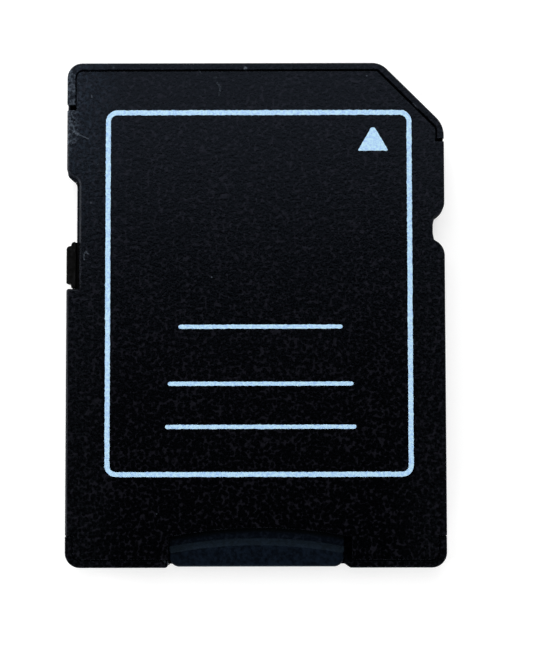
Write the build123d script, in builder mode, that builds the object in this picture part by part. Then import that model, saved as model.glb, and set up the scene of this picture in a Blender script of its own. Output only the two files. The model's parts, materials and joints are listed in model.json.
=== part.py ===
"""Full-size memory card adapter, label side up, with a micro memory card seated in its rear slot."""
import math
import os

from build123d import *

os.makedirs("parts", exist_ok=True)

# Sizes are in millimetres. +Y points to the contact end, +X to the cut corner, +Z to the label side.

# Contact field at the contact end, counted from the cut corner
pad_pitch = 2.5
pad_pitch_six_to_seven = 2.425
pad_pitch_seven_to_eight = 1.7
pad_to_left_edge = 2.0
pad_to_right_edge = 2.875
window_width = 1.7
window_width_narrow = 1.1
window_length = 5.4
window_setback_nine = 2.3
window_landing = 0.9
pad_depth = 0.7
pad_overlap = 0.1

# Outline of the card
contact_span = pad_pitch_seven_to_eight + pad_pitch_six_to_seven + 6 * pad_pitch
card_width = pad_to_left_edge + contact_span + pad_to_right_edge
card_length = 32.0
corner_radius = 0.95
cut_corner = 4.0
cut_corner_radius_front = 1.3
cut_corner_radius_side = 1.6
rail_width = 0.75
rail_rear_block = 2.0
rail_end_radius = 0.35
lead_in = 0.3
bottom_bevel = 0.12

# Micro card, in its seat
micro_width = 11.0
micro_length = 15.0
micro_thickness = 0.7
micro_front_width = 9.7
micro_step_start = 6.4
micro_step_end = 7.7
micro_notch_start = 8.9
micro_notch_length = 2.0
micro_notch_depth = 0.7
micro_notch_lead = 0.25
micro_notch_ramp = 0.7
micro_notch_radius = 0.15
micro_rear_radius = 0.65
micro_front_radius = 0.5
micro_step_radius = 0.3
micro_ridge_side_depth = 1.256
micro_ridge_height = 0.3
micro_ridge_slope_run = 0.42
micro_ridge_slope_drop = 0.17
micro_ridge_arc = 30.0
micro_edge_bevel = 0.08
micro_front_bevel = 0.18
micro_pad_pitch = 1.1
micro_pad_width = 0.8
micro_pad_length = 2.9
micro_pad_long_extra = 0.3
micro_pad_setback = 1.1
micro_pad_thickness = 0.03
micro_inset = 0.045

# Slot for the micro card
slot_shift = 0.045
slot_side_clearance = 0.045
slot_end_clearance = 0.07
slot_floor_clearance = 0.02
slot_headroom = 0.03
slot_front_radius = 0.3
slot_relief_start = 0.3
slot_relief_end = 2.3
mouth_recess = 0.24
mouth_floor_recess = 0.08
mouth_radius = 0.25
mouth_slope = 0.36
mouth_slope_radius = 0.15
stop_wall = 1.45

# Stamped terminals
strip_thickness = 0.15
strip_width = 0.5
strip_bend = 0.8
strip_neck = 0.35
finger_dip = 0.25
finger_dip_run = 0.8
finger_land = 0.5
finger_tip_run = 0.45
finger_tip_drop = 0.3
finger_bend = 0.3
finger_clearance = 0.01
finger_slot_side = 0.15
finger_slot_end = 0.25
finger_slot_floor = 0.25
bridge_width = 0.35
bridge_to_pads = 0.2

# Cover and rim
cover_thickness = 0.5
cover_bevel_left = 0.14
cover_bevel_right = 0.05
cover_extra_left = 0.045
rim_width = 0.45
rim_extra_left = 0.095
rim_drop = 0.05
rim_edge_bevel = 0.05
rim_inner_radius = 0.3
seam_corner_radius = 0.15
seam_gap = 0.12
seam_gap_rear = 0.07
rim_end_left = 2.66
rim_end_right = 4.87
wing_gap_left = 0.38
wing_gap_right = 0.22
nick_wall = 0.1
nick_depth = 0.5
post_length = 1.95
scoop_apex = 2.51
scoop_arc = 30.0
scoop_gap_left = 0.05
scoop_gap_right = 0.53
scoop_corner = 0.2

# Write-protect notch and slider
notch_setback = 7.58
notch_length = 6.86
notch_depth = 0.51
notch_slant = 0.3
notch_outer_radius = 0.55
notch_inner_radius = 0.55
notch_rear_radius = 0.15
notch_cover_inset = 0.29
notch_cover_front = 0.14
track_reach = 1.5
track_depth = 0.55
track_lip_depth = 0.2
track_lip_width = 0.3
slider_length = 2.94
slider_end_gap = 0.05
slider_running_gap = 0.05
slider_width = 0.58
slider_step_width = 0.3
slider_step_length = 0.26
slider_top_drop = 0.06
slider_radius = 0.24
slider_corner = 0.08
slider_step_corner = 0.05
slider_edge_bevel = 0.05

# Retention notch in the other side
lock_setback = 10.65
lock_mouth = 1.966
lock_floor = 1.32
lock_flat = 0.6
lock_shoulder = 0.61
lock_depth = 0.69
lock_lip_radius = 1.05
lock_shoulder_radius = 0.1
lock_floor_radius = 0.4
lock_cover_inset = 0.06

# Hollows between the moulded walls
chamber_side_wall = 2.6
chamber_front_wall = 0.5
core_edge_wall = 1.5
core_slot_wall = 1.0
core_end_wall = 1.4
core_rib = 0.8
core_radius = 0.5

# Print on the cover
ink_thickness = 0.03
border_width = 19.44
border_height = 23.25
border_line = 0.31
border_radius = 0.72
border_shift = 0.21
border_setback = 3.065
arrow_width = 1.95
arrow_height = 1.7
arrow_tip_radius = 0.2
arrow_base_radius = 0.05
arrow_to_border_side = 2.45
arrow_to_border_top = 0.915
rule_line = 0.26
rule_shift = 0.1
rule_widths = (10.4, 11.7, 12.05)
rule_setbacks = (13.8, 17.4, 20.11)

# How far cutting shapes reach past the outline
overcut = 1.0

# Levels and lines that follow from the sizes
half_width = card_width / 2
half_length = card_length / 2
z_floor = pad_depth + strip_thickness
z_card = z_floor + slot_floor_clearance
z_parting = z_card + micro_thickness + slot_headroom
z_top = z_parting + cover_thickness
micro_rear = -half_length + micro_inset
micro_front = micro_rear + micro_length
micro_left = slot_shift - micro_width / 2
micro_right = slot_shift + micro_width / 2
micro_front_right = micro_left + micro_front_width
micro_ridge_rise = micro_ridge_arc - math.sqrt(micro_ridge_arc**2 - (micro_width / 2) ** 2)
micro_ridge_apex = micro_rear + micro_ridge_side_depth + micro_ridge_rise
micro_notch_front = micro_front - micro_notch_start
micro_notch_rear = micro_notch_front - micro_notch_length
stop_y = micro_front + slot_end_clearance
chamber_rear = stop_y + stop_wall
slot_left = micro_left - slot_side_clearance
slot_right = micro_right + slot_side_clearance
slot_front_right = micro_front_right + slot_side_clearance
finger_y = micro_front - micro_pad_setback - micro_pad_length / 2
notch_front = half_length - notch_setback
notch_rear = notch_front - notch_length
lock_y = half_length - lock_setback
window_rear = half_length - window_length
window_rear_nine = window_rear - window_setback_nine
pad_front = half_length - window_landing
scoop_left = micro_left - scoop_gap_left
scoop_right = micro_right + scoop_gap_right
scoop_middle = (scoop_left + scoop_right) / 2
wing_front_left = half_length - rim_end_left - wing_gap_left
wing_front_right = half_length - rim_end_right - wing_gap_right
wing_rear = -half_length + post_length + seam_gap_rear
track_lip_end = -half_width + notch_depth + track_lip_width
track_end = -half_width + track_reach

pad_x = {9: half_width - pad_to_right_edge}
for number in range(1, 7):
    pad_x[number] = pad_x[9] - number * pad_pitch
pad_x[7] = pad_x[6] - pad_pitch_six_to_seven
pad_x[8] = pad_x[7] - pad_pitch_seven_to_eight

micro_pad_middle = (micro_left + micro_front_right) / 2
finger_x = {}
for number in range(1, 9):
    finger_x[number] = micro_pad_middle + (4.5 - number) * micro_pad_pitch


def rounded_face(corners):
    """Flat face through corners given as (x, y, radius); a radius is eased where its edge is short."""
    count = len(corners)
    points = [Vector(x, y) for x, y, radius in corners]
    lengths = [(points[(i + 1) % count] - points[i]).length for i in range(count)]
    tangents = []
    for i in range(count):
        before = points[i] - points[i - 1]
        after = points[(i + 1) % count] - points[i]
        turn = math.radians(before.get_angle(after))
        tangents.append(corners[i][2] * math.tan(turn / 2))
    radii = []
    for i in range(count):
        room_before = lengths[i - 1] / max(tangents[i - 1] + tangents[i], 1e-6)
        room_after = lengths[i] / max(tangents[i] + tangents[(i + 1) % count], 1e-6)
        radii.append(corners[i][2] * min(1.0, 0.98 * room_before, 0.98 * room_after))
    with BuildSketch() as face:
        with BuildLine():
            FilletPolyline(*[(x, y) for x, y, radius in corners], radius=radii, close=True)
        make_face()
    return face.sketch


def card_edge(notch_inset, front_inset, lock_inset):
    """Outline of the card with its two side notches, cut back further by the insets."""
    lip = lock_mouth / 2 + lock_inset
    shoulder = lock_floor / 2 + lock_inset
    floor_x = -half_width + notch_depth + notch_inset
    front_y = notch_front + front_inset
    return rounded_face([
        (-half_width, half_length, corner_radius),
        (half_width - cut_corner, half_length, cut_corner_radius_front),
        (half_width, half_length - cut_corner, cut_corner_radius_side),
        (half_width, lock_y + lip, lock_lip_radius),
        (half_width - lock_shoulder - lock_inset, lock_y + shoulder, lock_shoulder_radius),
        (half_width - lock_depth - lock_inset, lock_y + lock_flat / 2, lock_floor_radius),
        (half_width - lock_depth - lock_inset, lock_y - lock_flat / 2, lock_floor_radius),
        (half_width - lock_shoulder - lock_inset, lock_y - shoulder, lock_shoulder_radius),
        (half_width, lock_y - lip, lock_lip_radius),
        (half_width, -half_length, corner_radius),
        (-half_width, -half_length, corner_radius),
        (-half_width, notch_rear, notch_rear_radius),
        (floor_x, notch_rear, notch_rear_radius),
        (floor_x, front_y, notch_inner_radius),
        (-half_width, front_y + notch_slant, notch_outer_radius),
    ])


def inset_edge(inset, extra_left):
    """Outline of the card without notches, moved inwards, and further along the left side."""
    slope = inset * (math.sqrt(2) - 1)
    radius = max(corner_radius - inset, rim_inner_radius)
    return rounded_face([
        (-half_width + inset + extra_left, half_length - inset, radius),
        (half_width - cut_corner - slope, half_length - inset, seam_corner_radius),
        (half_width - inset, half_length - cut_corner - slope, seam_corner_radius),
        (half_width - inset, -half_length + inset, radius),
        (-half_width + inset, -half_length + inset, radius),
        (-half_width + inset, wing_rear, 0.0),
        (-half_width + inset + extra_left, wing_rear, 0.0),
    ])


def block(x_from, x_to, y_from, y_to, radius=0.0):
    """Rectangle between two x and two y lines."""
    return rounded_face([
        (x_from, y_from, radius),
        (x_to, y_from, radius),
        (x_to, y_to, radius),
        (x_from, y_to, radius),
    ])


def mouth_edge(recess):
    """Cut at the mouth of the slot, with a rounded left corner and a sloped right one."""
    return rounded_face([
        (slot_left - overcut, -half_length - overcut, 0.0),
        (slot_left - overcut, -half_length, 0.0),
        (slot_left, -half_length, mouth_radius),
        (slot_left, -half_length + recess, 0.0),
        (slot_right, -half_length + recess, 0.0),
        (slot_right + mouth_slope, -half_length, mouth_slope_radius),
        (slot_right + overcut, -half_length, 0.0),
        (slot_right + overcut, -half_length - overcut, 0.0),
    ])


base_edge = card_edge(0.0, 0.0, 0.0)
cover_edge = card_edge(notch_cover_inset, notch_cover_front, lock_cover_inset)
rim_inner = inset_edge(rim_width, rim_extra_left)
cover_inner = inset_edge(rim_width + seam_gap, cover_extra_left)

micro_face = rounded_face([
    (micro_left, micro_rear, micro_rear_radius),
    (micro_left, micro_front, micro_front_radius),
    (micro_front_right, micro_front, micro_front_radius),
    (micro_front_right, micro_front - micro_step_start, micro_step_radius),
    (micro_right, micro_front - micro_step_end, micro_step_radius),
    (micro_right, micro_notch_front, micro_notch_radius),
    (micro_right - micro_notch_depth, micro_notch_front - micro_notch_lead, micro_notch_radius),
    (micro_right - micro_notch_depth, micro_notch_rear + micro_notch_ramp, micro_notch_radius),
    (micro_right, micro_notch_rear, micro_step_radius),
    (micro_right, micro_rear, micro_rear_radius),
])

slot_face = rounded_face([
    (slot_left, -half_length - overcut, 0.0),
    (slot_left, stop_y, slot_front_radius),
    (slot_front_right, stop_y, slot_front_radius),
    (slot_front_right, stop_y - micro_step_start + slot_side_clearance, micro_step_radius),
    (slot_right, stop_y - micro_step_end + slot_side_clearance, micro_step_radius),
    (slot_right, -half_length - overcut, 0.0),
])


# Eight stamped terminals: pad, strip fanned in to the micro card pitch, sprung finger under the card
def stamped_terminal(pads, finger):
    """One terminal from its contact pads to its finger; a second pad is joined by a folded bridge."""
    lead = pads[0]
    x_finger = finger_x[finger]
    z_middle = pad_depth + strip_thickness / 2
    z_land = z_card - finger_clearance - strip_thickness / 2
    with BuildPart() as terminal:
        with BuildSketch(Plane.XY.offset(pad_depth)):
            for pad in pads:
                width = window_width if pad not in (7, 8) else window_width_narrow
                rear = window_rear if pad != 9 else window_rear_nine
                front = pad_front if pad != 9 else pad_front - window_setback_nine
                reach = bridge_to_pads + bridge_width if len(pads) > 1 else 0.0
                add(block(
                    pad_x[pad] - width / 2 - pad_overlap,
                    pad_x[pad] + width / 2 + pad_overlap,
                    rear - pad_overlap,
                    front + reach,
                ))
            rear = window_rear if lead != 9 else window_rear_nine
            with BuildLine():
                FilletPolyline(
                    (pad_x[lead], rear + pad_overlap),
                    (pad_x[lead], rear - pad_overlap - strip_neck),
                    (x_finger, chamber_rear + strip_neck),
                    (x_finger, stop_y),
                    radius=strip_bend,
                )
            trace(line_width=strip_width)
        extrude(amount=strip_thickness)
        with BuildSketch(Plane.YZ.offset(x_finger - strip_width / 2)):
            with BuildLine():
                FilletPolyline(
                    (stop_y + stop_wall / 4, z_middle),
                    (stop_y - slot_end_clearance, z_middle),
                    (stop_y - finger_dip_run, z_middle - finger_dip),
                    (finger_y + finger_land / 2, z_land),
                    (finger_y - finger_land / 2, z_land),
                    (finger_y - finger_land / 2 - finger_tip_run, z_land - finger_tip_drop),
                    radius=finger_bend,
                )
            trace(line_width=strip_thickness)
        extrude(amount=strip_width)
        if len(pads) > 1:
            with BuildSketch(Plane.XY.offset(z_floor)):
                add(block(
                    pad_x[pads[0]] - strip_width / 2,
                    pad_x[pads[1]] + strip_width / 2,
                    pad_front + bridge_to_pads,
                    pad_front + bridge_to_pads + bridge_width,
                ))
            extrude(amount=strip_thickness)
    return terminal.part


terminals = {
    "terminal_data_2": stamped_terminal((9,), 1),
    "terminal_data_3": stamped_terminal((1,), 2),
    "terminal_command": stamped_terminal((2,), 3),
    "terminal_supply": stamped_terminal((4,), 4),
    "terminal_clock": stamped_terminal((5,), 5),
    "terminal_ground": stamped_terminal((6, 3), 6),
    "terminal_data_0": stamped_terminal((7,), 7),
    "terminal_data_1": stamped_terminal((8,), 8),
}
for name, terminal_part in terminals.items():
    terminal_part.label = name
    export_step(terminal_part, "parts/" + name + ".step")


# Lower half of the housing, moulded around the terminals
with BuildPart() as base_housing:
    with BuildSketch():
        add(base_edge)
    extrude(amount=z_parting)

    # Guide rails: the lower body is narrower up to the rear block
    with BuildSketch():
        for side in (-1, 1):
            add(rounded_face([
                (side * (half_width - rail_width), -half_length + rail_rear_block, rail_end_radius),
                (side * (half_width + overcut), -half_length + rail_rear_block, 0.0),
                (side * (half_width + overcut), half_length + overcut, 0.0),
                (side * (half_width - rail_width), half_length + overcut, 0.0),
            ]))
    extrude(amount=pad_depth, mode=Mode.SUBTRACT)
    bottom = base_housing.faces().sort_by(Axis.Z)[0]
    front_edges = bottom.edges().filter_by(Axis.X).sort_by(Axis.Y)[-1:]
    chamfer(front_edges, length=lead_in)
    bottom = base_housing.faces().sort_by(Axis.Z)[0]
    front_edges = bottom.edges().filter_by(Axis.X).sort_by(Axis.Y)[-1:]
    side_edges = [edge for edge in bottom.outer_wire().edges() if edge not in front_edges]
    chamfer(side_edges, length=bottom_bevel)

    # Rim round the contact end and posts at the rear corners
    with BuildSketch(Plane.XY.offset(z_parting)):
        add(base_edge)
        add(rim_inner, mode=Mode.SUBTRACT)
        add(block(
            -half_width - overcut,
            -half_width + rim_width + rim_extra_left + rim_inner_radius,
            -half_length + post_length,
            half_length - rim_end_left,
        ), mode=Mode.SUBTRACT)
        add(block(
            half_width - rim_width - rim_inner_radius,
            half_width + overcut,
            -half_length + post_length,
            half_length - rim_end_right,
        ), mode=Mode.SUBTRACT)
        add(block(
            scoop_left,
            slot_right,
            -half_length - overcut,
            -half_length + rim_width + overcut,
        ), mode=Mode.SUBTRACT)
    extrude(amount=cover_thickness - rim_drop)
    rim_edges = base_housing.faces().group_by(Axis.Z)[-1].edges()
    chamfer(rim_edges, length=rim_edge_bevel)

    # Slot for the micro card, with a relief beside the card, and recessed at its mouth
    with BuildSketch(Plane.XY.offset(z_floor)):
        add(slot_face)
        add(block(
            micro_right,
            scoop_right,
            -half_length + slot_relief_start,
            -half_length + slot_relief_end,
        ))
    extrude(amount=z_top, mode=Mode.SUBTRACT)
    with BuildSketch(Plane.XY.offset(z_floor)):
        add(mouth_edge(mouth_recess))
    extrude(amount=z_top, mode=Mode.SUBTRACT)
    with BuildSketch():
        add(mouth_edge(mouth_floor_recess))
    extrude(amount=z_floor, mode=Mode.SUBTRACT)

    # Blind pockets between the ends of the rim and the cover
    with BuildSketch(Plane.XY.offset(z_parting - nick_depth)):
        add(block(
            -half_width + nick_wall,
            -half_width + rim_width + seam_gap,
            wing_front_left,
            half_length - rim_end_left,
        ))
        add(block(
            half_width - rim_width - seam_gap,
            half_width - nick_wall,
            wing_front_right,
            half_length - rim_end_right,
        ))
    extrude(amount=nick_depth, mode=Mode.SUBTRACT)

    # Chamber over the strips and hollows beside the slot
    with BuildSketch(Plane.XY.offset(z_floor)):
        add(block(
            -half_width + chamber_side_wall,
            half_width - chamber_side_wall,
            chamber_rear,
            window_rear_nine - chamber_front_wall,
            core_radius,
        ))
        core_rear = -half_length + core_end_wall
        core_front = stop_y - core_end_wall
        core_middle = (core_rear + core_front) / 2
        for x_from, x_to in (
            (-half_width + core_edge_wall, slot_left - core_slot_wall),
            (slot_right + core_slot_wall, half_width - core_edge_wall),
        ):
            add(block(x_from, x_to, core_rear, core_middle - core_rib / 2, core_radius))
            add(block(x_from, x_to, core_middle + core_rib / 2, core_front, core_radius))
    extrude(amount=z_parting - z_floor, mode=Mode.SUBTRACT)

    # Slots in which the fingers flex
    with BuildSketch(Plane.XY.offset(finger_slot_floor)):
        for number in range(1, 9):
            add(block(
                finger_x[number] - strip_width / 2 - finger_slot_side,
                finger_x[number] + strip_width / 2 + finger_slot_side,
                finger_y - finger_land / 2 - finger_tip_run - finger_slot_end,
                stop_y,
            ))
    extrude(amount=z_floor - finger_slot_floor, mode=Mode.SUBTRACT)

    # Contact windows, open to the contact end
    with BuildSketch():
        for number in range(1, 10):
            width = window_width if number not in (7, 8) else window_width_narrow
            rear = window_rear if number != 9 else window_rear_nine
            add(block(
                pad_x[number] - width / 2,
                pad_x[number] + width / 2,
                rear,
                half_length + overcut,
            ))
    extrude(amount=pad_depth, mode=Mode.SUBTRACT)

    # Track of the write-protect slider, with a lip that keeps its foot in
    with BuildSketch(Plane.XY.offset(z_parting - track_depth)):
        add(block(-half_width, track_end, notch_rear, notch_front))
    extrude(amount=track_depth, mode=Mode.SUBTRACT)
    with BuildSketch(Plane.XY.offset(z_parting - track_depth - track_lip_depth)):
        add(block(track_lip_end, track_end, notch_rear, notch_front))
    extrude(amount=track_lip_depth, mode=Mode.SUBTRACT)

    for terminal_part in terminals.values():
        add(terminal_part, mode=Mode.SUBTRACT)
base_housing.part.label = "base_housing"
export_step(base_housing.part, "parts/base_housing.step")


# Upper half of the housing, inside the rim, with the scoop over the slot
with BuildPart() as top_cover:
    with BuildSketch(Plane.XY.offset(z_parting)):
        add(cover_inner)
        add(block(
            -half_width + rim_width + seam_gap_rear,
            half_width - rim_width - seam_gap_rear,
            -half_length + rim_width + seam_gap_rear,
            0.0,
            corner_radius - rim_width - seam_gap_rear,
        ))
        add(block(
            -half_width - overcut,
            -half_width + rim_width + seam_gap + overcut,
            wing_rear,
            wing_front_left,
        ))
        add(block(
            half_width - rim_width - seam_gap - overcut,
            half_width + overcut,
            wing_rear,
            wing_front_right,
        ))
        add(cover_edge, mode=Mode.INTERSECT)
        with BuildSketch(mode=Mode.SUBTRACT) as scoop:
            with Locations((scoop_middle, -half_length + scoop_apex - scoop_arc)):
                Circle(scoop_arc)
            add(block(
                scoop_left,
                scoop_right,
                -half_length - overcut,
                -half_length + scoop_apex + overcut,
            ), mode=Mode.INTERSECT)
            fillet(scoop.vertices().group_by(Axis.Y)[-1], scoop_corner)
    extrude(amount=cover_thickness)

    # The open sides are bevelled, the seams are left sharp
    left_edges = []
    right_edges = []
    for edge in top_cover.faces().sort_by(Axis.Z)[-1].outer_wire().edges():
        middle = edge.center()
        wing_front = wing_front_left if middle.X < 0 else wing_front_right
        if wing_rear + seam_gap / 2 < middle.Y < wing_front - seam_gap / 2:
            if middle.X < -half_width + track_reach:
                left_edges.append(edge)
            elif middle.X > half_width - track_reach:
                right_edges.append(edge)
    chamfer(left_edges, length=cover_bevel_left)
    chamfer(right_edges, length=cover_bevel_right)
top_cover.part.label = "top_cover"
export_step(top_cover.part, "parts/top_cover.step")


# Write-protect slider: thumb block in the notch, neck and hooked foot in the track
slider_rear = notch_rear + slider_end_gap
slider_front = slider_rear + slider_length
with BuildPart() as write_protect_slider:
    with BuildSketch(Plane.XY.offset(z_parting - track_depth + slider_running_gap)):
        add(rounded_face([
            (-half_width, slider_rear + slider_step_length, slider_corner),
            (-half_width, slider_front - slider_step_length, slider_radius),
            (-half_width + slider_step_width, slider_front - slider_step_length, slider_step_corner),
            (-half_width + slider_step_width, slider_front, slider_radius),
            (-half_width + slider_width, slider_front, slider_corner),
            (-half_width + slider_width, slider_rear, slider_corner),
            (-half_width + slider_step_width, slider_rear, slider_corner),
            (-half_width + slider_step_width, slider_rear + slider_step_length, slider_step_corner),
        ]))
    extrude(amount=cover_thickness + track_depth - slider_top_drop - slider_running_gap)
    chamfer(write_protect_slider.faces().sort_by(Axis.Z)[-1].edges(), length=slider_edge_bevel)
    with BuildSketch(Plane.XY.offset(pad_depth + slider_running_gap)):
        add(block(
            -half_width,
            -half_width + notch_depth - slider_running_gap,
            slider_rear + slider_step_length,
            slider_front - slider_step_length,
            slider_corner,
        ))
    extrude(amount=z_parting - track_depth - pad_depth)
    with BuildSketch(Plane.XY.offset(z_parting - track_depth + slider_running_gap)):
        add(block(
            -half_width + slider_step_width,
            track_end - slider_running_gap,
            slider_rear,
            slider_front,
        ))
    extrude(amount=track_depth - 2 * slider_running_gap)
    with BuildSketch(Plane.XY.offset(z_parting - track_depth - track_lip_depth + slider_running_gap)):
        add(block(
            track_lip_end + slider_running_gap,
            track_end - slider_running_gap,
            slider_rear,
            slider_front,
        ))
    extrude(amount=track_lip_depth)
write_protect_slider.part.label = "write_protect_slider"
export_step(write_protect_slider.part, "parts/write_protect_slider.step")


# Micro card: contact pads let into the underside, body with the raised grip ridge
with BuildPart() as micro_card_contacts:
    with BuildSketch(Plane.XY.offset(z_card)):
        for number in range(1, 9):
            longer = micro_pad_long_extra if number in (4, 6) else 0.0
            add(block(
                finger_x[number] - micro_pad_width / 2,
                finger_x[number] + micro_pad_width / 2,
                micro_front - micro_pad_setback - micro_pad_length,
                micro_front - micro_pad_setback + longer,
            ))
    extrude(amount=micro_pad_thickness)
micro_card_contacts.part.label = "micro_card_contacts"
export_step(micro_card_contacts.part, "parts/micro_card_contacts.step")

with BuildPart() as micro_card_body:
    with BuildSketch(Plane.XY.offset(z_card)):
        add(micro_face)
    extrude(amount=micro_thickness)
    with BuildSketch(Plane.YZ.offset(micro_left - overcut)):
        with BuildLine():
            Polyline(
                (micro_front - micro_front_bevel, z_card),
                (micro_front, z_card + micro_front_bevel),
                (micro_front + overcut, z_card + micro_front_bevel),
                (micro_front + overcut, z_card - overcut),
                (micro_front - micro_front_bevel, z_card - overcut),
                close=True,
            )
        make_face()
    extrude(amount=micro_width + 2 * overcut, mode=Mode.SUBTRACT)
    with BuildSketch(Plane.XY.offset(z_card + micro_thickness)):
        add(micro_face)
        with Locations((slot_shift, micro_ridge_apex - micro_ridge_arc)):
            Circle(micro_ridge_arc, mode=Mode.INTERSECT)
    extrude(amount=micro_ridge_height)
    ridge_top = micro_card_body.faces().sort_by(Axis.Z)[-1]
    ridge_front = ridge_top.edges().sort_by(Axis.Y)[-1]
    chamfer(ridge_front, micro_ridge_slope_run, micro_ridge_slope_drop, reference=ridge_top)
    ridge_top = micro_card_body.faces().sort_by(Axis.Z)[-1]
    chamfer(ridge_top.edges().sort_by(Axis.Y)[:-1], length=micro_edge_bevel)
    add(micro_card_contacts.part, mode=Mode.SUBTRACT)
micro_card_body.part.label = "micro_card_body"
export_step(micro_card_body.part, "parts/micro_card_body.step")


# Print on the cover: frame, insertion arrow and three plain write-on rules
border_left = border_shift - border_width / 2
border_right = border_shift + border_width / 2
border_top = half_length - border_setback
border_bottom = border_top - border_height
with BuildPart() as printed_border:
    with BuildSketch(Plane.XY.offset(z_top)):
        add(block(border_left, border_right, border_bottom, border_top, border_radius))
        add(block(
            border_left + border_line,
            border_right - border_line,
            border_bottom + border_line,
            border_top - border_line,
            border_radius - border_line,
        ), mode=Mode.SUBTRACT)
    extrude(amount=ink_thickness)
printed_border.part.label = "printed_border"
export_step(printed_border.part, "parts/printed_border.step")

arrow_x = border_right - arrow_to_border_side
arrow_top = border_top - arrow_to_border_top
with BuildPart() as printed_arrow:
    with BuildSketch(Plane.XY.offset(z_top)):
        add(rounded_face([
            (arrow_x, arrow_top, arrow_tip_radius),
            (arrow_x + arrow_width / 2, arrow_top - arrow_height, arrow_base_radius),
            (arrow_x - arrow_width / 2, arrow_top - arrow_height, arrow_base_radius),
        ]))
    extrude(amount=ink_thickness)
printed_arrow.part.label = "printed_arrow"
export_step(printed_arrow.part, "parts/printed_arrow.step")

with BuildPart() as printed_rules:
    with BuildSketch(Plane.XY.offset(z_top)):
        for width, setback in zip(rule_widths, rule_setbacks):
            y_rule = border_top - setback
            x_rule = border_shift + rule_shift
            add(block(
                x_rule - width / 2,
                x_rule + width / 2,
                y_rule - rule_line / 2,
                y_rule + rule_line / 2,
                rule_line / 2,
            ))
    extrude(amount=ink_thickness)
printed_rules.part.label = "printed_rules"
export_step(printed_rules.part, "parts/printed_rules.step")
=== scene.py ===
"""Looks of the memory card adapter: grained black moulding, gold terminals, navy micro card, pale ink."""
import json
import math
import random

import bmesh
import bpy
from mathutils import Euler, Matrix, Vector


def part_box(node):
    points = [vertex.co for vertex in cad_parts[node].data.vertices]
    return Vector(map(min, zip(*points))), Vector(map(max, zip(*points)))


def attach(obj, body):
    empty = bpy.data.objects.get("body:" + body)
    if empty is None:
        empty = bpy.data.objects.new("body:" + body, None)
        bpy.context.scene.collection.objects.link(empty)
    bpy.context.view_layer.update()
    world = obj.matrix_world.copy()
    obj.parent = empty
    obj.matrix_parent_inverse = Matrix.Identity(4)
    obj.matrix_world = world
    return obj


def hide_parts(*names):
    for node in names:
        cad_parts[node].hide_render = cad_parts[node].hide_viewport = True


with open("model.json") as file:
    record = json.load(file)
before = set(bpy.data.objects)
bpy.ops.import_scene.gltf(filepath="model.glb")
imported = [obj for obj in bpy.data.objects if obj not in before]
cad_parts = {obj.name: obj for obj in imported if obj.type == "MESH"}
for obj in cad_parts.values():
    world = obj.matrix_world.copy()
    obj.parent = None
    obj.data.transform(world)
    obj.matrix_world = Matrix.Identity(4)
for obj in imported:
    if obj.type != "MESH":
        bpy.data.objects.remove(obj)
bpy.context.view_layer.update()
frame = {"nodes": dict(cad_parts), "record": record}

MM = 0.001
MM_PER_M = 1000.0

# Camera, in millimetres and degrees
CAMERA_PLACE = (1.167, -4.020, 76.801)
CAMERA_TURN = (2.545, 0.08, -0.099)
CAMERA_LENS = 65.728
CAMERA_NEAR = 1.0
CAMERA_FAR = 5000.0

# Softboxes: name, width, depth and distance in mm, azimuth from +X and elevation in degrees,
# and share of the light
SOFTBOXES = (
    ("softbox_overhead", 260.0, 170.0, 260.0, 95.0, 60.0, 0.34),
    ("softbox_contact_end", 160.0, 50.0, 220.0, 97.0, 16.0, 0.19),
    ("softbox_left", 160.0, 50.0, 220.0, 176.0, 16.0, 0.22),
    ("softbox_right", 160.0, 50.0, 220.0, -4.0, 16.0, 0.1),
    ("softbox_rear", 160.0, 50.0, 220.0, -90.0, 16.0, 0.19),
)

# World and floor: strengths, heights on the unit sphere between which the bright band fades, sizes in mm
WORLD_HORIZON = 0.3
WORLD_SEEN = 0.9
WORLD_ZENITH = 0.01
WORLD_BAND_TOP = 0.4
WORLD_BAND_FULL = 0.16
FLOOR_RADIUS = 1500.0
FLOOR_SIDES = 64
FLOOR_COLOUR = (0.62, 0.62, 0.62, 1.0)
FLOOR_GLOW = 0.62

# Colours, linear
PLASTIC_DARK = (0.00005, 0.00005, 0.0001, 1.0)
PLASTIC_LIGHT = (0.0067, 0.0064, 0.0093, 1.0)
PLASTIC_TINT = (0.6, 0.73, 1.0, 1.0)
SCUFF_COLOUR = (0.145, 0.175, 0.215, 1.0)
BLUE_LIFT_COLOUR = (0.032, 0.056, 0.092, 1.0)
SLIDER_DARK = (0.0001, 0.0001, 0.0001, 1.0)
SLIDER_LIGHT = (0.0044, 0.0046, 0.0050, 1.0)
GOLD_DEEP = (0.72, 0.45, 0.13, 1.0)
GOLD_BRIGHT = (0.93, 0.68, 0.28, 1.0)
# Dark of the micro card's face, also used as the painted shadow along the scoop's edge
FACE_DARK_AND_SCOOP_SHADOW = (0.00005, 0.00005, 0.0001, 1.0)
FACE_LIGHT = (0.0085, 0.0088, 0.0110, 1.0)
STRIP_DARK = (0.0010, 0.0020, 0.0052, 1.0)
STRIP_LIGHT = (0.0088, 0.0118, 0.0205, 1.0)
NAVY_DARK = (0.0001, 0.0004, 0.0018, 1.0)
NAVY_LIGHT = (0.0028, 0.0052, 0.0108, 1.0)
MICRO_TINT = (0.48, 0.75, 1.0, 1.0)
INK_DEEP = (0.36, 0.585, 0.94, 1.0)
INK_PALE = (0.56, 0.83, 1.0, 1.0)

# Specular levels of the mouldings
PLASTIC_GLOSS = 0.133
SLIDER_GLOSS = 0.06
MICRO_GLOSS = 0.12

# Middle of the range of a noise texture, over which roughness changes
NOISE_LOW = 0.3
NOISE_HIGH = 0.7
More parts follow.
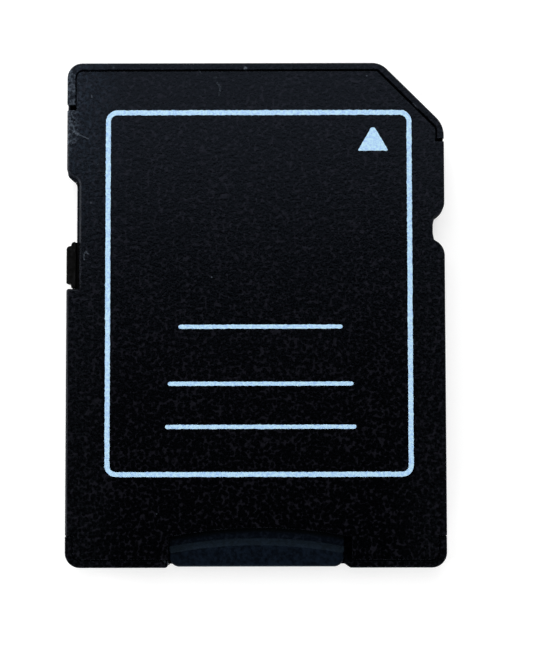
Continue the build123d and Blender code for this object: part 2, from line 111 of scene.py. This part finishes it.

# Wear of the housing and the bluish lightening towards the left front: where each kind starts and where it
# is full, in mm, and how strong it gets.
# RUBBED_FULL is the product of corner and spots at which the rub is full, and SHARPNESS is the power
# to which spots and the fall of the rub from the edge are raised
RUBBED_X = (-10.3, -12.0)
RUBBED_Y = (9.4, 11.8)
RUBBED_FULL = 2.2
RUBBED_STRENGTH = 0.33
WALL_FADE_Z = (0.8, 1.95)
HANDLED_X = (8.0, 11.4)
HANDLED_STRENGTH = 0.006
BLUE_LIFT_X = (-7.4, -11.6)
BLUE_LIFT_Y = (1.0, 15.0)
BLUE_LIFT_STRENGTH = 0.062
DUST_STRENGTH = 0.064
WEAR_ROUGHNESS = 0.5
SHARPNESS = 3.0

# Scuffs on the top: start and end in x and y and half width, all in mm, and strength
SCUFFS = (
    ((-11.59, 11.62), (-11.30, 11.42), 0.14, 0.55),
    ((-11.24, 11.39), (-10.63, 11.13), 0.06, 0.4),
    ((-2.60, 15.04), (-2.48, 15.06), 0.09, 0.13),
    ((-2.43, 14.70), (-2.23, 14.42), 0.08, 0.22),
    ((-2.23, 14.42), (-2.30, 13.93), 0.08, 0.22),
    ((-3.62, 15.55), (-3.46, 15.33), 0.06, 0.4),
    ((-10.88, 3.74), (-10.76, 3.92), 0.07, 0.4),
    ((-10.76, 3.92), (-10.60, 3.77), 0.07, 0.4),
    ((-10.86, 3.65), (-10.85, 3.39), 0.06, 0.4),
    ((-0.65, 15.66), (-0.61, 15.65), 0.15, 0.7),
    ((10.04, 13.35), (10.33, 13.06), 0.06, 0.4),
    ((-9.12, 15.72), (-9.06, 15.72), 0.07, 0.4),
    ((-5.75, -15.52), (-5.70, -15.66), 0.07, 0.4),
    ((-10.42, 13.90), (-10.42, 13.82), 0.08, 0.45),
    ((-10.47, 7.03), (-10.45, 7.03), 0.08, 0.4),
    ((-11.42, 11.04), (-11.42, 11.00), 0.07, 0.4),
    ((-11.50, 12.21), (-11.48, 12.21), 0.07, 0.4),
    ((-11.54, 13.68), (-11.54, 13.60), 0.06, 0.4),
    ((-10.02, 9.47), (-10.00, 9.47), 0.07, 0.4),
    ((-2.79, 2.27), (-2.77, 2.27), 0.06, 0.4),
    ((7.09, 15.14), (7.11, 15.14), 0.06, 0.4),
    ((-6.22, -12.59), (-6.22, -12.63), 0.05, 0.4),
)
SCUFF_CORE = 0.3

# Micro card, in mm: heights between which the grip ridge begins, centre of the arc of the cover's scoop,
# and radii from there: the strip that the scoop leaves open ends at the first, a painted shadow of the
# scoop's edge is darkest at the second, and from the third on the card has the full grain of the face under
# the cover
RIDGE_Z = (1.6, 1.72)
SCOOP_CENTRE = (0.285, -43.49, 0.0)
STRIP_END = 29.52
SCOOP_SHADOW_DARKEST = 29.80
SCOOP_SHADOW_END = 30.5

# Print: length of an edge step, how ragged the ink edge is and width of a weld, in mm
INK_STEP = 0.07
INK_RAGGED = 0.022
INK_WELD = 0.0001
INK_SEED = 7
RAGGED_SHARES = (0.25, 0.5, 0.25)
FACES_UP = 0.9


class Tree:
    """Short way to write a node tree: values are set on sockets, and sockets given as values are linked."""

    def __init__(self, tree):
        self.tree = tree
        tree.nodes.clear()

    def add(self, kind, inputs, **settings):
        node = self.tree.nodes.new(kind)
        for key, value in settings.items():
            setattr(node, key, value)
        for key, value in inputs.items():
            if isinstance(value, bpy.types.NodeSocket):
                self.tree.links.new(value, node.inputs[key])
            else:
                node.inputs[key].default_value = value
        return node

    def vector(self, operation, first, second, output="Vector"):
        node = self.add("ShaderNodeVectorMath", {0: first, 1: second}, operation=operation)
        return node.outputs[output]

    def scaled(self, vector, factor):
        return self.add("ShaderNodeVectorMath", {0: vector, "Scale": factor}, operation="SCALE").outputs[0]

    def millimetres(self):
        """Place on the piece in the shared frame, in mm."""
        return self.scaled(self.add("ShaderNodeTexCoord", {}).outputs["Object"], MM_PER_M)

    def stretch(self, place, factors):
        return self.vector("MULTIPLY", place, factors)

    def plan(self, place):
        """The place as seen from above, with no height."""
        return self.stretch(place, (1.0, 1.0, 0.0))

    def axes(self, place):
        return self.add("ShaderNodeSeparateXYZ", {0: place}).outputs

    def noise(self, place, scale, detail=2.0, rough=0.5):
        values = {"Vector": place, "Scale": scale, "Detail": detail, "Roughness": rough}
        return self.add("ShaderNodeTexNoise", values).outputs[0]

    def cells(self, place, scale):
        return self.add("ShaderNodeTexVoronoi", {"Vector": place, "Scale": scale}).outputs

    def math(self, operation, first, *others):
        """Values joined one after another by the same operation."""
        for other in others:
            first = self.add("ShaderNodeMath", {0: first, 1: other}, operation=operation).outputs[0]
        return first

    def unsigned(self, value):
        return self.add("ShaderNodeMath", {0: value}, operation="ABSOLUTE").outputs[0]

    def weighted(self, *terms):
        """Sum of values, each times its weight."""
        return self.math("ADD", *[self.math("MULTIPLY", value, weight) for value, weight in terms])

    def span(self, value, start, end, low=0.0, high=1.0):
        """Value from start to end becomes low to high, smoothly."""
        values = {"Value": value, "From Min": start, "From Max": end, "To Min": low, "To Max": high}
        return self.add("ShaderNodeMapRange", values, interpolation_type="SMOOTHSTEP").outputs[0]

    def roughness(self, noise, low, high):
        return self.span(noise, NOISE_LOW, NOISE_HIGH, low, high)

    def blend(self, share, first, second):
        """Colour from first to second; 6, 7 and 2 are the colour sockets of a Mix node."""
        node = self.add("ShaderNodeMix", {0: share, 6: first, 7: second}, data_type="RGBA")
        return node.outputs[2]

    def bump(self, height, depth, edge_radius):
        """Normal of a surface with softened edges and this relief; depth and radius in mm."""
        soft = self.add("ShaderNodeBevel", {"Radius": edge_radius * MM}, samples=4).outputs[0]
        values = {"Strength": 1.0, "Distance": depth * MM, "Height": height, "Normal": soft}
        return self.add("ShaderNodeBump", values).outputs[0]

    def surface(self, **inputs):
        named = {key.replace("_", " "): value for key, value in inputs.items()}
        shader = self.add("ShaderNodeBsdfPrincipled", named)
        self.add("ShaderNodeOutputMaterial", {"Surface": shader.outputs[0]})


def new_tree(name):
    material = bpy.data.materials.new(name)
    material.use_nodes = True
    return material, Tree(material.node_tree)


# Wear of the housing
def scuff_mask(tree, place):
    """Light where one of the scuffs runs, with breaks."""
    plan = tree.plan(place)
    total = 0.0
    for start, end, half_width, strength in SCUFFS:
        run = Vector((end[0] - start[0], end[1] - start[1], 0.0))
        away = tree.vector("SUBTRACT", plan, (*start, 0.0))
        along = tree.vector("DOT_PRODUCT", away, run / run.length_squared, output="Value")
        along = tree.add("ShaderNodeClamp", {"Value": along}).outputs[0]
        distance = tree.vector("DISTANCE", away, tree.scaled(run, along), output="Value")
        mark = tree.span(distance, half_width, SCUFF_CORE * half_width, high=strength)
        total = tree.math("MAXIMUM", total, mark)
    breaks = tree.span(tree.noise(place, scale=14.0), 0.35, 0.62)
    return tree.math("MULTIPLY", total, breaks)


def dust_mask(tree, place):
    """A small dot in some of the cells into which the surface is divided."""
    cells = tree.cells(place, scale=1.5)
    dots = tree.span(cells["Distance"], 0.09, 0.04)
    chosen = tree.span(tree.axes(cells["Color"])[0], 0.86, 0.95)
    return tree.math("MULTIPLY", dots, chosen)


def wear_masks(tree, place):
    """Pale marks: rubbed corner, scuffs, dust and handled sides. Then a bluish lightening in patches that
    grows towards the left front.
    """
    x, y, z = tree.axes(place)
    patches = tree.span(tree.noise(place, scale=4.8, rough=0.6), 0.38, 0.66, low=0.6, high=1.5)
    spots = tree.math("POWER", patches, SHARPNESS)
    edge = tree.math("POWER", tree.span(x, *RUBBED_X), SHARPNESS)
    corner = tree.math("MULTIPLY", edge, tree.span(y, *RUBBED_Y))
    rubbed = tree.span(tree.math("MULTIPLY", corner, spots), 0.0, RUBBED_FULL, high=RUBBED_STRENGTH)
    marks = tree.math("MAXIMUM", rubbed, scuff_mask(tree, place))
    marks = tree.math("MULTIPLY", marks, tree.span(z, *WALL_FADE_Z))
    dust = tree.math("MULTIPLY", dust_mask(tree, place), DUST_STRENGTH)
    handled = tree.span(tree.unsigned(x), *HANDLED_X, high=HANDLED_STRENGTH)
    marks = tree.math("MAXIMUM", marks, dust, tree.math("MULTIPLY", handled, spots))
    # Bluish lightening in patches, growing towards the left edge and towards the front
    blue_lift = tree.math("MULTIPLY", tree.span(x, *BLUE_LIFT_X), tree.span(y, *BLUE_LIFT_Y, high=BLUE_LIFT_STRENGTH), spots)
    return marks, blue_lift


# Materials: the scale of a noise or of cells is in features to the mm
def housing_plastic():
    """Spark-eroded black moulding with its wear."""
    material, tree = new_tree("moulded_black")
    place = tree.millimetres()
    lumps = tree.noise(place, scale=4.3, rough=0.6)
    pits = tree.noise(place, scale=9.0)
    clouds = tree.noise(place, scale=0.35)
    flattened = tree.stretch(place, (1.0, 1.0, 1.7))
    craters = tree.cells(flattened, scale=4.4)["Distance"]
    flecks = tree.noise(flattened, scale=6.0, detail=1.0)
    marks, blue_lift = wear_masks(tree, place)

    tone = tree.weighted((craters, 0.5), (flecks, 0.42), (clouds, 0.08))
    colour = tree.blend(tree.span(tone, 0.51, 0.72), PLASTIC_DARK, PLASTIC_LIGHT)
    colour = tree.blend(blue_lift, colour, BLUE_LIFT_COLOUR)
    tree.surface(
        Base_Color=tree.blend(marks, colour, SCUFF_COLOUR),
        Roughness=tree.weighted((tree.roughness(pits, 0.22, 0.32), 1.0), (marks, WEAR_ROUGHNESS)),
        Normal=tree.bump(tree.weighted((lumps, 0.72), (pits, 0.28)), depth=0.025, edge_radius=0.018),
        Specular_IOR_Level=PLASTIC_GLOSS,
        Specular_Tint=PLASTIC_TINT,
    )
    return material


def slider_plastic():
    """Smooth neutral black moulding with faint flow lines along its travel."""
    material, tree = new_tree("slider_black")
    place = tree.millimetres()
    flow = tree.noise(tree.stretch(place, (9.0, 1.2, 9.0)), scale=1.0, detail=3.0)
    fine = tree.noise(place, scale=16.0)
    lumps = tree.noise(place, scale=4.6)
    tone = tree.weighted((flow, 0.3), (lumps, 0.7))
    tree.surface(
        Base_Color=tree.blend(tree.span(tone, 0.42, 0.62), SLIDER_DARK, SLIDER_LIGHT),
        Roughness=tree.roughness(fine, 0.36, 0.46),
        Normal=tree.bump(tree.weighted((lumps, 1.0), (fine, 0.4)), depth=0.02, edge_radius=0.04),
        Specular_IOR_Level=SLIDER_GLOSS,
    )
    return material


def gold_plate():
    """Gold-plated strip: rolling grain along the strip and light wipe marks."""
    material, tree = new_tree("gold_plate")
    place = tree.millimetres()
    rolled = tree.noise(tree.stretch(place, (26.0, 1.6, 26.0)), scale=1.0, detail=3.0, rough=0.55)
    wiped = tree.noise(tree.stretch(place, (9.0, 0.5, 9.0)), scale=1.0, rough=0.6)
    clouds = tree.noise(place, scale=1.1)
    tone = tree.weighted((wiped, 0.5), (clouds, 0.5))
    tree.surface(
        Base_Color=tree.blend(tree.span(tone, 0.35, 0.65), GOLD_DEEP, GOLD_BRIGHT),
        Metallic=1.0,
        Roughness=tree.roughness(wiped, 0.2, 0.36),
        Normal=tree.bump(rolled, depth=0.004, edge_radius=0.03),
    )
    return material


def micro_plastic():
    """Moulding compound of the micro card: black face, greyer strip in the scoop with a painted shadow
    along the scoop's edge, satin navy grip ridge.
    """
    material, tree = new_tree("satin_navy")
    place = tree.millimetres()
    grain = tree.noise(place, scale=11.0, detail=3.0, rough=0.6)
    specks = tree.noise(place, scale=4.6)
    clouds = tree.noise(tree.stretch(place, (0.5, 1.6, 1.0)), scale=1.0)
    tone = tree.weighted((specks, 0.7), (clouds, 0.3))

    # Painted shadow: near black along the arc of the scoop's edge, where the cover shades the card, fading
    # into the grain of the face under the cover
    reach = tree.vector("DISTANCE", tree.plan(place), SCOOP_CENTRE, output="Value")
    shadow_fade_and_grain = tree.math("MULTIPLY", tree.span(reach, SCOOP_SHADOW_DARKEST, SCOOP_SHADOW_END), tree.span(tone, 0.42, 0.64))
    face = tree.blend(shadow_fade_and_grain, FACE_DARK_AND_SCOOP_SHADOW, FACE_LIGHT)
    strip = tree.blend(tree.span(specks, 0.45, 0.7), STRIP_DARK, STRIP_LIGHT)
    top = tree.blend(tree.span(reach, SCOOP_SHADOW_DARKEST, STRIP_END), face, strip)
    navy = tree.blend(tree.span(tone, 0.36, 0.64), NAVY_DARK, NAVY_LIGHT)
    tree.surface(
        Base_Color=tree.blend(tree.span(tree.axes(place)[2], *RIDGE_Z), top, navy),
        Roughness=tree.roughness(grain, 0.4, 0.5),
        Normal=tree.bump(grain, depth=0.012, edge_radius=0.04),
        Specular_IOR_Level=MICRO_GLOSS,
        Specular_Tint=MICRO_TINT,
    )
    return material


def printed_ink():
    """Pale ink film that follows the grain under it, with thin spots."""
    material, tree = new_tree("pale_ink")
    place = tree.millimetres()
    lumps = tree.noise(place, scale=4.6, detail=3.0, rough=0.62)
    fine = tree.noise(place, scale=8.0, rough=0.6)
    tone = tree.weighted((lumps, 0.45), (fine, 0.55))
    tree.surface(
        Base_Color=tree.blend(tree.span(tone, 0.36, 0.60), INK_DEEP, INK_PALE),
        Roughness=tree.roughness(fine, 0.5, 0.62),
        Normal=tree.bump(tree.weighted((lumps, 1.0), (fine, 0.5)), depth=0.02, edge_radius=0.02),
    )
    return material


MATERIALS = {
    "housing": housing_plastic(),
    "slider": slider_plastic(),
    "gold_plate": gold_plate(),
    "micro_card": micro_plastic(),
    "ink": printed_ink(),
}
for row in frame["record"]["subparts"]:
    frame["nodes"][row["node"]].material_slots[0].material = MATERIALS[row["material_slot"]]


# Ink pieces: the printed solids again, with the slightly ragged edge that pad-printed ink has
def top_outlines(node):
    """Closed outlines round the top faces of a printed solid, in mm, ink on the left of the way round."""
    mesh = bmesh.new()
    mesh.from_mesh(frame["nodes"][node].data)
    bmesh.ops.remove_doubles(mesh, verts=mesh.verts, dist=INK_WELD * MM)
    after = {}
    for face in mesh.faces:
        if face.normal.z > FACES_UP:
            for loop in face.loops:
                if loop.link_loop_radial_next.face.normal.z < FACES_UP:
                    after[loop.vert] = loop.link_loop_next.vert
    outlines = []
    while after:
        vert = next(iter(after))
        outline = []
        while vert in after:
            outline.append(vert.co.xy * MM_PER_M)
            vert = after.pop(vert)
        outlines.append(outline)
    mesh.free()
    return outlines


def spaced(outline, count):
    """The outline again, as evenly spaced points."""
    lengths = [(outline[(i + 1) % len(outline)] - point).length for i, point in enumerate(outline)]
    step = sum(lengths) / count
    points = []
    gone, reach = 0.0, 0.0
    for i, point in enumerate(outline):
        way = outline[(i + 1) % len(outline)] - point
        while reach < gone + lengths[i] and len(points) < count:
            points.append(point + way * ((reach - gone) / lengths[i]))
            reach += step
        gone += lengths[i]
    return points


def ragged(points, draw):
    """The outline with the small waves of a printed edge."""
    count = len(points)
    push = [draw.uniform(-INK_RAGGED, INK_RAGGED) for i in range(count)]
    before, here, after = RAGGED_SHARES
    moved = []
    for i, point in enumerate(points):
        along = (points[(i + 1) % count] - points[i - 1]).normalized()
        amount = before * push[i - 1] + here * push[i] + after * push[(i + 1) % count]
        moved.append(point + Vector((along.y, -along.x)) * amount)
    return moved


def film(name, node, draw):
    """One ink piece, which rides on the housing in place of its printed solid."""
    low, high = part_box(node)
    film_mesh = bmesh.new()
    rims = []
    for outline in top_outlines(node):
        length = sum((outline[i] - outline[i - 1]).length for i in range(len(outline)))
        points = ragged(spaced(outline, round(length / INK_STEP)), draw)
        verts = [film_mesh.verts.new((p.x * MM, p.y * MM, high.z)) for p in points]
        rims += [film_mesh.edges.new((verts[i - 1], verts[i])) for i in range(len(verts))]
    bmesh.ops.triangle_fill(film_mesh, use_beauty=True, edges=rims, normal=(0.0, 0.0, 1.0))
    top = list(film_mesh.faces)
    lowered = bmesh.ops.extrude_face_region(film_mesh, geom=top, use_keep_orig=True)["geom"]
    for element in lowered:
        if isinstance(element, bmesh.types.BMVert):
            element.co.z = low.z
    bmesh.ops.recalc_face_normals(film_mesh, faces=film_mesh.faces)
    mesh = bpy.data.meshes.new(name)
    film_mesh.to_mesh(mesh)
    film_mesh.free()
    mesh.materials.append(MATERIALS["ink"])
    piece = bpy.data.objects.new(name, mesh)
    bpy.context.scene.collection.objects.link(piece)
    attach(piece, "housing")
    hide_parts(node)


def print_on_cover():
    draw = random.Random(INK_SEED)
    film("ink_border", "printed_border", draw)
    film("ink_arrow", "printed_arrow", draw)
    film("ink_rules", "printed_rules", draw)


print_on_cover()


# Stage: pale floor, world that is light near the horizon and dark overhead, softboxes and the camera
def seen_directly(tree):
    """One for rays from the camera and from mirrors and glass, and nought for the rest."""
    rays = tree.add("ShaderNodeLightPath", {}).outputs
    return tree.math("MAXIMUM", rays["Is Camera Ray"], rays["Is Glossy Ray"], rays["Is Transmission Ray"])


def make_floor():
    material, tree = new_tree("pale_floor")
    diffuse = tree.add("ShaderNodeBsdfDiffuse", {"Color": FLOOR_COLOUR})
    strength = tree.math("MULTIPLY", seen_directly(tree), FLOOR_GLOW)
    glow = tree.add("ShaderNodeEmission", {"Strength": strength})
    both = tree.add("ShaderNodeAddShader", {0: diffuse.outputs[0], 1: glow.outputs[0]})
    tree.add("ShaderNodeOutputMaterial", {"Surface": both.outputs[0]})
    mesh = bpy.data.meshes.new("floor")
    turns = [2 * math.pi * k / FLOOR_SIDES for k in range(FLOOR_SIDES)]
    rim = [(FLOOR_RADIUS * MM * math.cos(t), FLOOR_RADIUS * MM * math.sin(t), 0.0) for t in turns]
    mesh.from_pydata(rim, [], [tuple(range(FLOOR_SIDES))])
    mesh.materials.append(material)
    floor = bpy.data.objects.new("floor", mesh)
    bpy.context.scene.collection.objects.link(floor)


def make_world():
    world = bpy.data.worlds.new("studio")
    world.use_nodes = True
    tree = Tree(world.node_tree)
    way = tree.add("ShaderNodeTexCoord", {}).outputs["Generated"]
    height = tree.axes(way)[2]
    level = tree.span(seen_directly(tree), 0.0, 1.0, WORLD_HORIZON, WORLD_SEEN)
    strength = tree.span(height, WORLD_BAND_TOP, WORLD_BAND_FULL, WORLD_ZENITH, level)
    glow = tree.add("ShaderNodeBackground", {"Strength": strength})
    tree.add("ShaderNodeOutputWorld", {"Surface": glow.outputs[0]})
    bpy.context.scene.world = world


def make_softbox(name, width, depth, distance, azimuth, elevation, share):
    """Area lamp aimed at the card; share is its part of the level at which a colour renders as written."""
    turn, rise = math.radians(azimuth), math.radians(elevation)
    way = Vector((math.cos(turn) * math.cos(rise), math.sin(turn) * math.cos(rise), math.sin(rise)))
    lamp = bpy.data.lights.new(name, "AREA")
    lamp.shape = "RECTANGLE"
    lamp.size, lamp.size_y = width * MM, depth * MM
    lamp.energy = share * (math.pi * distance * MM) ** 2 / math.sin(rise)
    box = bpy.data.objects.new(name, lamp)
    box.location = way * (distance * MM)
    box.rotation_euler = way.to_track_quat("Z", "Y").to_euler()
    bpy.context.scene.collection.objects.link(box)


def make_camera():
    lens = bpy.data.cameras.new("camera")
    lens.lens = CAMERA_LENS
    lens.clip_start = CAMERA_NEAR * MM
    lens.clip_end = CAMERA_FAR * MM
    camera = bpy.data.objects.new("camera", lens)
    camera.location = [value * MM for value in CAMERA_PLACE]
    camera.rotation_euler = Euler([math.radians(value) for value in CAMERA_TURN])
    bpy.context.scene.collection.objects.link(camera)
    bpy.context.scene.camera = camera


make_floor()
make_world()
for softbox in SOFTBOXES:
    make_softbox(*softbox)
make_camera()
bpy.context.scene.view_settings.view_transform = "Standard"
